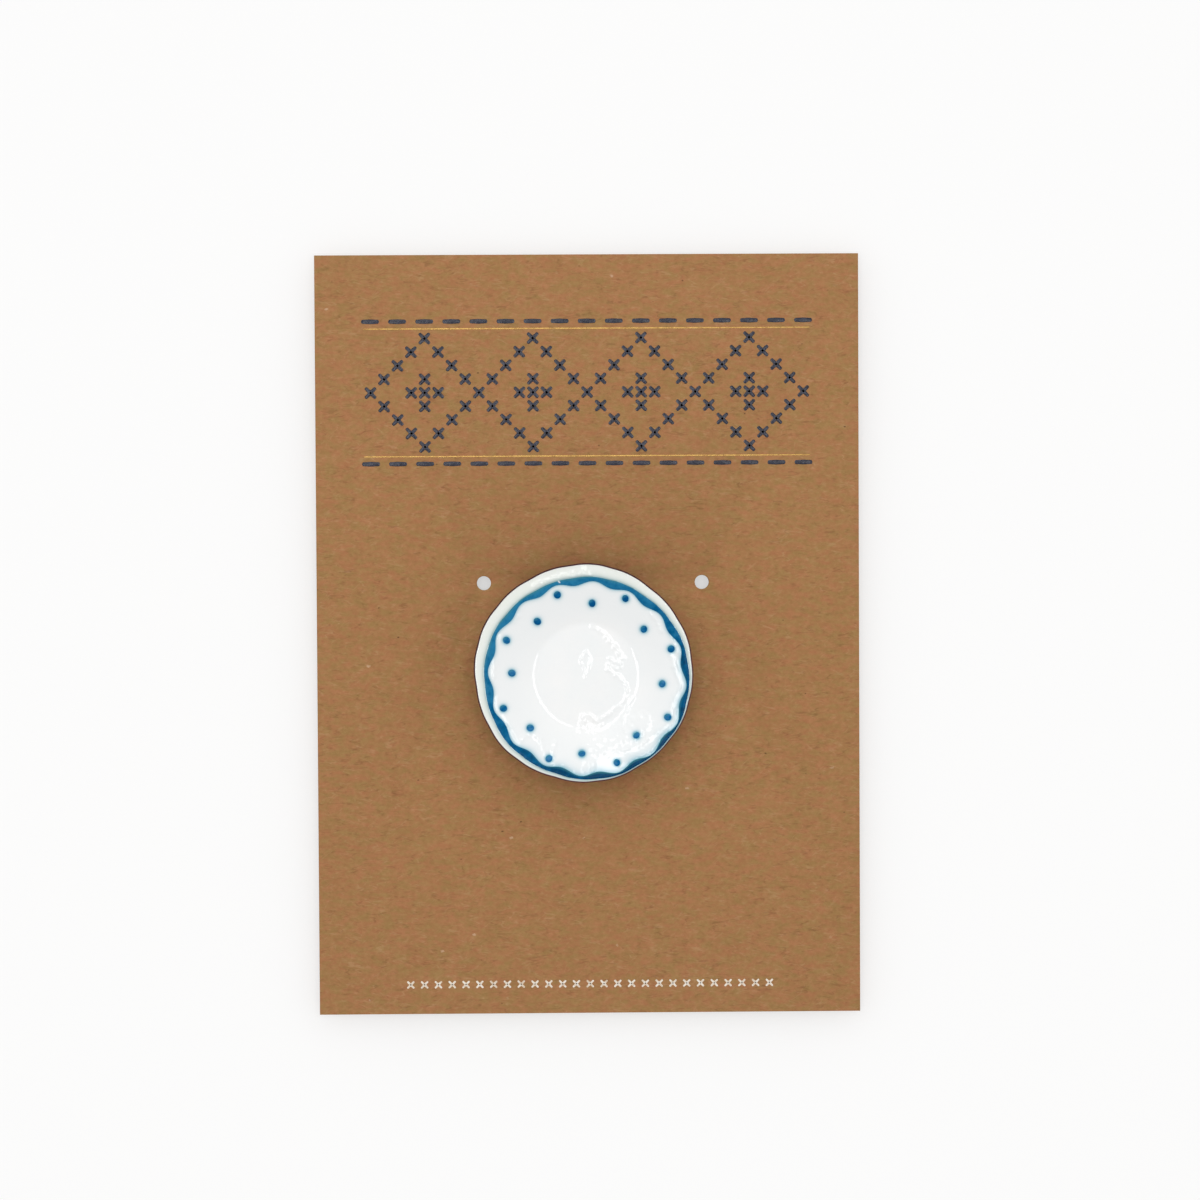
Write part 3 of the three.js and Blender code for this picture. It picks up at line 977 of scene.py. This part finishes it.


# %% [markdown]
# The material needs to know where the paint bleeds, where the margin is and where the clay is bare.
# These masks are stored on the vertices as one colour attribute: red for the blue that has run
# inwards, green for the margin, blue for the bare clay and the dark line at the lip, and alpha for
# the paint's soft outer edge. The clay shows underneath, and as a thin dark line wherever the
# surface is steep or leans outwards, over the sharp lip. That line is partly the clay where the
# glaze breaks, and partly painted shade: it stands in for the dark shade round the plate's edge.

# %% The plate
DOT_RADIUS = 0.43
BLEED_REACH = 0.16
WET_REACH = 0.26
FEATHER_REACH = 0.2
MARGIN_START = 0.3
TOP_SLOPE = (0.3, 0.8)
# Where the surface is steep or leans outwards the clay colour goes on: bare clay underneath, and over the
# lip a thin dark line that is partly painted shade.
CLAY_AND_SHADE_SLOPE = (0.9, 0.965)
LIP_SHADE_LEAN = (0.1, 0.3)

dot_names = [name for name in sorted(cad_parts) if name.startswith("painted_dot_")]
dot_middles = {}
for name in dot_names:
    dot_low, dot_high = node_box(name)
    dot_middles[name] = ((dot_low + dot_high) / 2).to_2d()


def bleed_at(flat, bent):
    """How much the blue has run into the glaze inside the band and round the dots, from 0 to 1."""
    if outside_band(flat) > 0:
        return 0
    from_band = max(0, inside_scallops(flat))
    from_dot = min((bent - middle).length for middle in dot_middles.values()) - DOT_RADIUS
    band_reach = BLEED_REACH + WET_REACH * max(0, math.cos(turn_of(flat) - POOL_AND_SHADE_SIDE))
    return max(math.exp(-from_band / band_reach), math.exp(-max(0, from_dot) / BLEED_REACH))


def plate_piece():
    bm = turned(plate_section(), PLATE_STEPS)
    bm.normal_update()
    zones = bm.verts.layers.float_color.new("glaze_zones")
    for vert in bm.verts:
        flat = vert.co.to_2d()
        on_top = smooth_step(vert.normal.z, *TOP_SLOPE)
        bent = hand_made(flat, on_top)
        # Bare clay underneath, and over the lip a thin dark line that is partly painted shade.
        lean = vert.normal.to_2d().dot(flat.normalized())
        clay = max(1 - smooth_step(vert.normal.z, *CLAY_AND_SHADE_SLOPE), smooth_step(lean, *LIP_SHADE_LEAN))
        height = 0
        masks = (0, 1, clay, 0)
        if on_top:
            outside = outside_band(flat)
            feather = math.exp(-outside / FEATHER_REACH) if outside > 0 else 0
            masks = (bleed_at(flat, bent), smooth_step(outside, 0, MARGIN_START), clay, feather)
            height = swell(flat, bent) * on_top
        vert[zones] = masks
        vert.co = Vector((bent.x, bent.y, vert.co.z + height + plate_z))
    return finish_piece(bm, "miniature_plate", "front", ["plate"])


plate = plate_piece()


# %% [markdown]
# White glaze is a clear glass over a white body. The Principled shader already has the clear
# gloss, so the work is in the small departures from white: a breath of blue beside the paint, a
# grey-green tint on the margin, and the matt brown clay wherever there is no glaze. Two of them
# are painted shade: the rim is painted a little darker than the well, and the thin dark line of
# clay over the lip also stands in for the shade round the plate's edge.

# %% The white glaze
GLAZE = srgb(250, 250, 249)
GLAZE_COOL = srgb(246, 248, 248)
GLAZE_RIM_SHADE = srgb(243, 245, 245)
GLAZE_BLEED = srgb(118, 180, 198)
GLAZE_FEATHER = srgb(100, 150, 150)
GLAZE_MARGIN = srgb(238, 241, 234)
CLAY_AND_LIP_SHADE = srgb(98, 50, 52)
CLAY_AND_LIP_SHADE_DARK = srgb(74, 38, 42)
CLAY_ROUGHNESS = 0.8
GLAZE_CLOUDS = (0.25, 3.0)
SPONGE = (2.4, 3.0)
GROG = (3.0, 4.0, 0.7)
POLISH = (0.7, 3.0)
SKIN = (1.4, 3.0, 0.55)
SKIN_DEPTH = 0.02


def glaze_finish():
    glaze = Finish("white_glaze", IOR=1.5)
    zones = glaze.zones("glaze_zones")
    cloud = glaze.noise(glaze.place(), *GLAZE_CLOUDS)
    color = glaze.ramp(cloud, [(0.35, GLAZE_COOL), (0.65, GLAZE)])
    # The rim is painted a little darker than the well: painted shade on the sloping rim.
    from_well = glaze.place((1, 1, 0), shift=(*-WELL_SHIFT, 0))
    out = glaze.node("VectorMath", {0: from_well}, operation="LENGTH").outputs["Value"]
    rim_shade = glaze.ramp(glaze.maths("DIVIDE", out, PLATE_RADIUS), [(0.44, 0.0), (0.68, 1.0)])
    color = glaze.mix(rim_shade, color, GLAZE_RIM_SHADE)
    sponged = glaze.ramp(glaze.noise(glaze.place(), *SPONGE), [(0.3, 0.6), (0.6, 1.0)])
    color = glaze.mix(glaze.maths("MULTIPLY", zones["Green"], sponged), color, GLAZE_MARGIN)
    color = glaze.mix(zones["Red"], color, GLAZE_BLEED)
    color = glaze.mix(zones["Alpha"], color, GLAZE_FEATHER)
    # The clay colours also paint the dark line at the lip, which is partly painted shade.
    grog_and_lip_shade = glaze.ramp(glaze.noise(glaze.place(), *GROG), [(0.4, CLAY_AND_LIP_SHADE_DARK), (0.6, CLAY_AND_LIP_SHADE)])
    color = glaze.mix(zones["Blue"], color, grog_and_lip_shade)
    glaze.drive("Base Color", color)
    polish = glaze.ramp(glaze.noise(glaze.place(), *POLISH), [(0.3, 0.05), (0.7, 0.10)])
    glaze.drive("Roughness", glaze.mix(zones["Blue"], polish, (CLAY_ROUGHNESS,) * 3))
    skin = glaze.noise(glaze.place(), *SKIN)
    glaze.drive("Normal", glaze.bump(skin, SKIN_DEPTH, 0.35))
    return glaze


paint(plate, glaze_finish())
print("glaze finish: bleed, soft edge, margin and bare clay")

# %% [markdown]
# The blue band is enamel, put on with a full brush. It stands a little proud and is domed, because
# wet enamel pulls itself round. Its section is drawn one unit wide and turned one unit from the
# axis. Each vertex is then carried to its place between the two edges of the band, and laid on the
# glaze. That is simpler than drawing the wavy ring itself. A colour attribute holds what the finish
# asks for: red for the side of the stroke, low on the side that faces the upper left, where a
# painted highlight lies along the dome, green for how far the enamel has run round the plate, blue
# for the small nick near the top, and alpha for the way across the stroke.

# %% The painted band
BAND_HEIGHT = 0.055
BAND_SINK = 0.04
BAND_ROWS = 16
BAND_STEPS = 768
BAND_FLATNESS = 3
BAND_FULLNESS = 0.6
NICK_TURN = math.radians(-15.5)
NICK_WIDTH = 0.07
NICK_START = 0.35
NICK_FADE = 0.2


def on_glaze(flat, bent):
    """Height of the glaze above the foot at a flat point of the rim."""
    return upper_z(flat.length) + swell(flat, bent)


def band_dome(share):
    """Height of the enamel across the band, as a share of its full height."""
    return (1 - abs(2 * share - 1) ** BAND_FLATNESS) ** BAND_FULLNESS


def pooled_and_shaded(turn, share, side=POOL_AND_SHADE_SIDE):
    """A share from 0 to 1 that grows towards one side: where the enamel pooled, and away from the painted
    highlight.
    """
    return 0.5 + 0.5 * share * math.cos(turn - side)


def band_piece():
    top = [(2 - row / BAND_ROWS, BAND_HEIGHT * band_dome(row / BAND_ROWS)) for row in range(BAND_ROWS + 1)]
    bm = turned([(1, -BAND_SINK), (2, -BAND_SINK)] + top, BAND_STEPS, closed=True)
    strokes = bm.verts.layers.float_color.new("stroke_zones")
    for vert in bm.verts:
        turn = turn_of(vert.co)
        share = vert.co.to_2d().length - 1
        flat = scallop_point(turn).lerp(outer_point(turn), share)
        bent = hand_made(flat)
        nick = math.exp(-((turn - NICK_TURN) * BAND_RADIUS / NICK_WIDTH + 2 * (share - 0.5)) ** 2)
        nick *= smooth_step(share, NICK_START, NICK_START + NICK_FADE)
        # Red sets the painted highlight on the side of the stroke towards the upper left; green is the
        # pooling round the plate.
        vert[strokes] = (pooled_and_shaded(turn, 2 * share - 1), pooled_and_shaded(turn, 1), nick, share)
        vert.co = Vector((bent.x, bent.y, on_glaze(flat, bent) + vert.co.z + plate_z))
    return finish_piece(bm, "painted_blue_band", "front", ["painted_border"])


band = band_piece()


# %% [markdown]
# The dots are single dabs from the tip of a small brush. Each is a low dome, a touch oval, with its
# own size. They stay where the CAD nodes are, so their middles come from the frame. A quarter of a
# circle turned about Z makes the dome, and its skirt goes a little way into the glaze. Size and oval
# step on by a fixed stride from dot to dot, so that neighbours differ and every run is the same.

# %% The painted dots
DOT_HEIGHT = 0.08
DOT_ROWS = 8
DOT_STEPS = 40
DOT_DOMING = 1.5
DOT_UNEVEN = 0.06
SIZE_STRIDE = 5.3
OVAL_STRIDE = 2.1
# The side where the dots are deepest; away from it they are painted paler, a painted reflection of the
# lamps' sheen.
DOTS_AWAY_FROM_SHEEN = math.radians(15)
UNBEND_TIMES = 4


def unbent(bent):
    """The flat point that hand_made takes to a bent one, found by stepping back a few times."""
    flat = bent.copy()
    for _ in range(UNBEND_TIMES):
        flat += bent - hand_made(flat)
    return flat


def dot_piece(name, number):
    section = [(0, -BAND_SINK), (DOT_RADIUS, -BAND_SINK)]
    for row in range(DOT_ROWS + 1):
        turn = math.pi / 2 * row / DOT_ROWS
        section.append((DOT_RADIUS * math.cos(turn), DOT_HEIGHT * math.sin(turn) ** DOT_DOMING))
    bm = turned(section, DOT_STEPS)
    middle = unbent(dot_middles[name])
    size = 1 - DOT_UNEVEN * (0.5 - 0.5 * math.sin(SIZE_STRIDE * number))
    shorter = direction(OVAL_STRIDE * number)
    # Each dot is paler on its side towards the upper left, a painted highlight, and the dots grow paler away
    # from the top, a painted reflection of the lamps' sheen.
    away_from_sheen = pooled_and_shaded(turn_of(middle), 1, DOTS_AWAY_FROM_SHEEN)
    dab = bm.verts.layers.float_color.new("stroke_zones")
    for vert in bm.verts:
        from_middle = vert.co.to_2d() * size
        from_middle -= shorter * from_middle.dot(shorter) * DOT_UNEVEN
        flat = middle + from_middle
        bent = hand_made(flat)
        share = vert.co.to_2d().length / DOT_RADIUS
        vert[dab] = (pooled_and_shaded(turn_of(vert.co), share), away_from_sheen, 0, share)
        vert.co = Vector((bent.x, bent.y, on_glaze(flat, bent) + vert.co.z + plate_z))
    return finish_piece(bm, "blue_dot_" + name[-2:], "front", [name])


dots = [dot_piece(name, number) for number, name in enumerate(dot_names, 1)]


# %% [markdown]
# Brushed enamel is not one blue. Round the whole band it is dark where it pooled, towards the foot
# of the plate, and paler on the far side. Across each stroke and each dot, the side that faces the
# upper left is a thin greenish blue: that is painted light, a painted highlight on the domed enamel.
# Both shares were stored on the vertices, and a noise along the stroke breaks them up. Enamel is
# so deep a colour that even a weak reflection of the white room greys it, so its gloss is held low.
# The dots are a purer blue: deep near the top, and paler away from it towards the bottom, where the
# lamps' sheen lies over them: that paleness is a painted reflection.

# %% The two blue enamels
BAND_BLUES = ((0, 62, 98), (0, 92, 138), (40, 124, 166))
BAND_LIT_SIDE = srgb(66, 132, 142)
DOT_BLUES = ((0, 80, 134), (6, 98, 150), (62, 124, 172))
DOT_LIT_SIDE = srgb(60, 132, 152)
ENAMEL_GLOSS = 0.05
ENAMEL_CONTRAST = 3.0
STREAKS = (1.5, 3.0, 0.6)
ENAMEL_PATCHES = (0.5, 2.0)
ENAMEL_LUMPS = (2.2, 2.0)
ENAMEL_LUMP_DEPTH = 0.012


def enamel_finish(name, blues, lit_side_color, pool_and_sheen_weight):
    """Enamel of three blues from deep to pale, with a painted highlight colour on the side that faces the
    upper left.
    """
    enamel = Finish(name, IOR=1.5, Specular_IOR_Level=ENAMEL_GLOSS)
    zones = enamel.zones("stroke_zones")
    pool_and_sheen = enamel.maths("MULTIPLY", enamel.maths("SUBTRACT", 1.0, zones["Green"]), pool_and_sheen_weight)
    streaks = enamel.noise(enamel.place(), *STREAKS)
    patches = enamel.noise(enamel.place(), *ENAMEL_PATCHES)
    both = enamel.maths("MULTIPLY", enamel.maths("ADD", streaks, patches), 0.5 * ENAMEL_CONTRAST)
    broken = enamel.maths("SUBTRACT", both, 0.5 * (ENAMEL_CONTRAST - 1), clamp=True)
    paleness = enamel.maths("ADD", pool_and_sheen, enamel.maths("MULTIPLY", broken, 1 - pool_and_sheen_weight))
    deep, middle, pale = (srgb(*blue) for blue in blues)
    color = enamel.ramp(paleness, [(0.22, deep), (0.5, middle), (0.78, pale)])
    # The colour for the side that faces the upper left is a painted highlight.
    thin = enamel.ramp(zones["Red"], [(0.0, 0.9), (0.42, 0.0)])
    color = enamel.mix(thin, color, lit_side_color)
    color = enamel.mix(zones["Blue"], color, GLAZE)
    enamel.drive("Base Color", color)
    enamel.drive("Roughness", enamel.ramp(streaks, [(0.3, 0.08), (0.7, 0.18)]))
    lumps = enamel.noise(enamel.place(), *ENAMEL_LUMPS)
    enamel.drive("Normal", enamel.bump(lumps, ENAMEL_LUMP_DEPTH, 0.4))
    return enamel


paint(band, enamel_finish("band_enamel", BAND_BLUES, BAND_LIT_SIDE, 0.6))
dot_enamel = enamel_finish("dot_enamel", DOT_BLUES, DOT_LIT_SIDE, 0.3)
for dot in dots:
    paint(dot, dot_enamel)
print("enamel finishes: one for the band and one for", len(dots), "dots")

# %% [markdown]
# The object lies on a plain white sheet. The floor takes the object's soft shadow from the lamps.
# A white floor far from small lamps would look grey, so a part of its brightness for the camera
# comes from the floor's own material, and no light is added to the object for it.

# %% The floor and the white surroundings
FLOOR_SIZE = 4000
FLOOR_WHITE = 0.97
FLOOR_ROUGHNESS = 0.9
GLOW_COLOR = (1, 0.997, 0.992, 1)
FLOOR_GLOW = 0.56
WORLD_STRENGTH = 0.81
WORLD_LEAN = 0.46
BRIGHT_SIDE = (-0.12, 0.99, 0)


def floor_piece():
    bm = bmesh.new()
    bmesh.ops.create_grid(bm, x_segments=1, y_segments=1, size=FLOOR_SIZE / 2)
    piece = scene_object(bm, "floor")
    return piece


def floor_finish():
    """Matt white, which glows a little for the camera only."""
    sheet = Finish("white_sheet", Roughness=FLOOR_ROUGHNESS)
    sheet.shader.inputs["Base Color"].default_value = (FLOOR_WHITE, FLOOR_WHITE, FLOOR_WHITE, 1)
    glow = sheet.node("Emission", {"Color": GLOW_COLOR, "Strength": 1.0}).outputs[0]
    seen = sheet.node("LightPath").outputs["Is Camera Ray"]
    share = sheet.maths("MULTIPLY", seen, FLOOR_GLOW)
    mixed = sheet.node("MixShader", {0: share, 1: sheet.shader.outputs[0], 2: glow}).outputs[0]
    sheet.tree.links.new(mixed, sheet.tree.nodes["Material Output"].inputs["Surface"])
    return sheet


def white_world():
    """Even white for the camera. Its light leans to one side, as beside a window."""
    world = bpy.data.worlds.new("white_tent")
    world.use_nodes = True
    nodes, links = world.node_tree.nodes, world.node_tree.links
    background = nodes["Background"]
    background.inputs["Color"].default_value = (1, 1, 1, 1)
    path = nodes.new("ShaderNodeLightPath")
    seen_way = nodes.new("ShaderNodeTexCoord")
    towards = nodes.new("ShaderNodeVectorMath")
    towards.operation = "DOT_PRODUCT"
    towards.inputs[1].default_value = BRIGHT_SIDE
    links.new(seen_way.outputs["Generated"], towards.inputs[0])
    leaning = nodes.new("ShaderNodeMath")
    leaning.operation = "MULTIPLY_ADD"
    leaning.inputs[1].default_value = WORLD_STRENGTH * WORLD_LEAN
    leaning.inputs[2].default_value = WORLD_STRENGTH
    links.new(towards.outputs["Value"], leaning.inputs[0])
    strength = nodes.new("ShaderNodeMix")
    links.new(leaning.outputs["Value"], strength.inputs["A"])
    strength.inputs["B"].default_value = 1.0
    links.new(path.outputs["Is Camera Ray"], strength.inputs["Factor"])
    links.new(strength.outputs["Result"], background.inputs["Strength"])
    bpy.context.scene.world = world


floor = floor_piece()
paint(floor, floor_finish())
white_world()
print("floor and white surroundings made")

# %% [markdown]
# Small glossy things are lit from a white tent with a long lamp on each side of the lens. The curve
# between well and rim shows each lamp as a thin arc on the far side, and where the lamp tapers, so
# does the arc. The bare rim slopes too much to show either, so on the rim only runs, ripples and
# mounds catch the light. A smaller third lamp lights those at the foot of the well and of the rim,
# and the top margin. A lamp's power is worked out from its area, an oval's, and from how bright its
# face should look, where 1 is white.

# %% The lamps
LAMP_HEIGHT = 500
LAMP_BRIGHTNESS = 4.5
LAMPS = {
    "left_lamp": {"middle": (-99, 7), "size": (88, 204), "turn": -10.6},
    "right_lamp": {"middle": (95, 25), "size": (80, 216), "turn": 21.3},
    "top_lamp": {"middle": (-42, 152), "size": (104, 62), "turn": 12},
}


def tent_lamp(name, middle, size, turn):
    """An oval lamp that faces straight down, its size in millimetres and its turn in degrees."""
    data = bpy.data.lights.new(name, "AREA")
    data.shape = "ELLIPSE"
    data.size, data.size_y = (length * MM for length in size)
    data.energy = LAMP_BRIGHTNESS * math.pi * data.size * data.size_y * math.pi / 4
    lamp = bpy.data.objects.new(name, data)
    lamp.location = Vector((*middle, LAMP_HEIGHT)) * MM
    lamp.rotation_euler.z = math.radians(turn)
    lamp.visible_camera = False
    bpy.context.scene.collection.objects.link(lamp)
    return lamp


for lamp_name, place in LAMPS.items():
    print(f"{lamp_name}: {tent_lamp(lamp_name, **place).data.energy:.2f} W")

# %% [markdown]
# The camera looks almost straight down. Its small tilts were found by fitting the card's four
# corners, a rectangle whose sides are known, so that the drawn corners fall where they should.
# The card's front middle is the point that the tilts turn about.

# %% The camera
SENSOR_WIDTH = 36.0
CAMERA_LENS = 102.48
CAMERA_TILT_X = math.radians(1.796)
CAMERA_TILT_Y = math.radians(0.822)
CAMERA_ROLL = math.radians(0.327)
CARD_FROM_CAMERA = Vector((-1.362, -4.086, -400))
NEAREST_SEEN = 10


def photo_camera():
    data = bpy.data.cameras.new("camera")
    data.sensor_width = SENSOR_WIDTH
    data.lens = CAMERA_LENS
    data.clip_start = NEAREST_SEEN * MM
    camera = bpy.data.objects.new("camera", data)
    tilt = Matrix.Rotation(CAMERA_TILT_Y, 3, "Y") @ Matrix.Rotation(CAMERA_TILT_X, 3, "X")
    seen_from = Matrix.Rotation(CAMERA_ROLL, 3, "Z") @ tilt
    card_point = Vector((card_middle.x, card_middle.y, card_front_z))
    place = card_point - seen_from.transposed() @ CARD_FROM_CAMERA
    camera.matrix_world = Matrix.Translation(place * MM) @ seen_from.transposed().to_4x4()
    bpy.context.scene.collection.objects.link(camera)
    bpy.context.scene.camera = camera
    return camera


camera = photo_camera()
bpy.context.scene.view_settings.view_transform = "Standard"
print("camera at", [round(value / MM, 1) for value in camera.location], "mm")
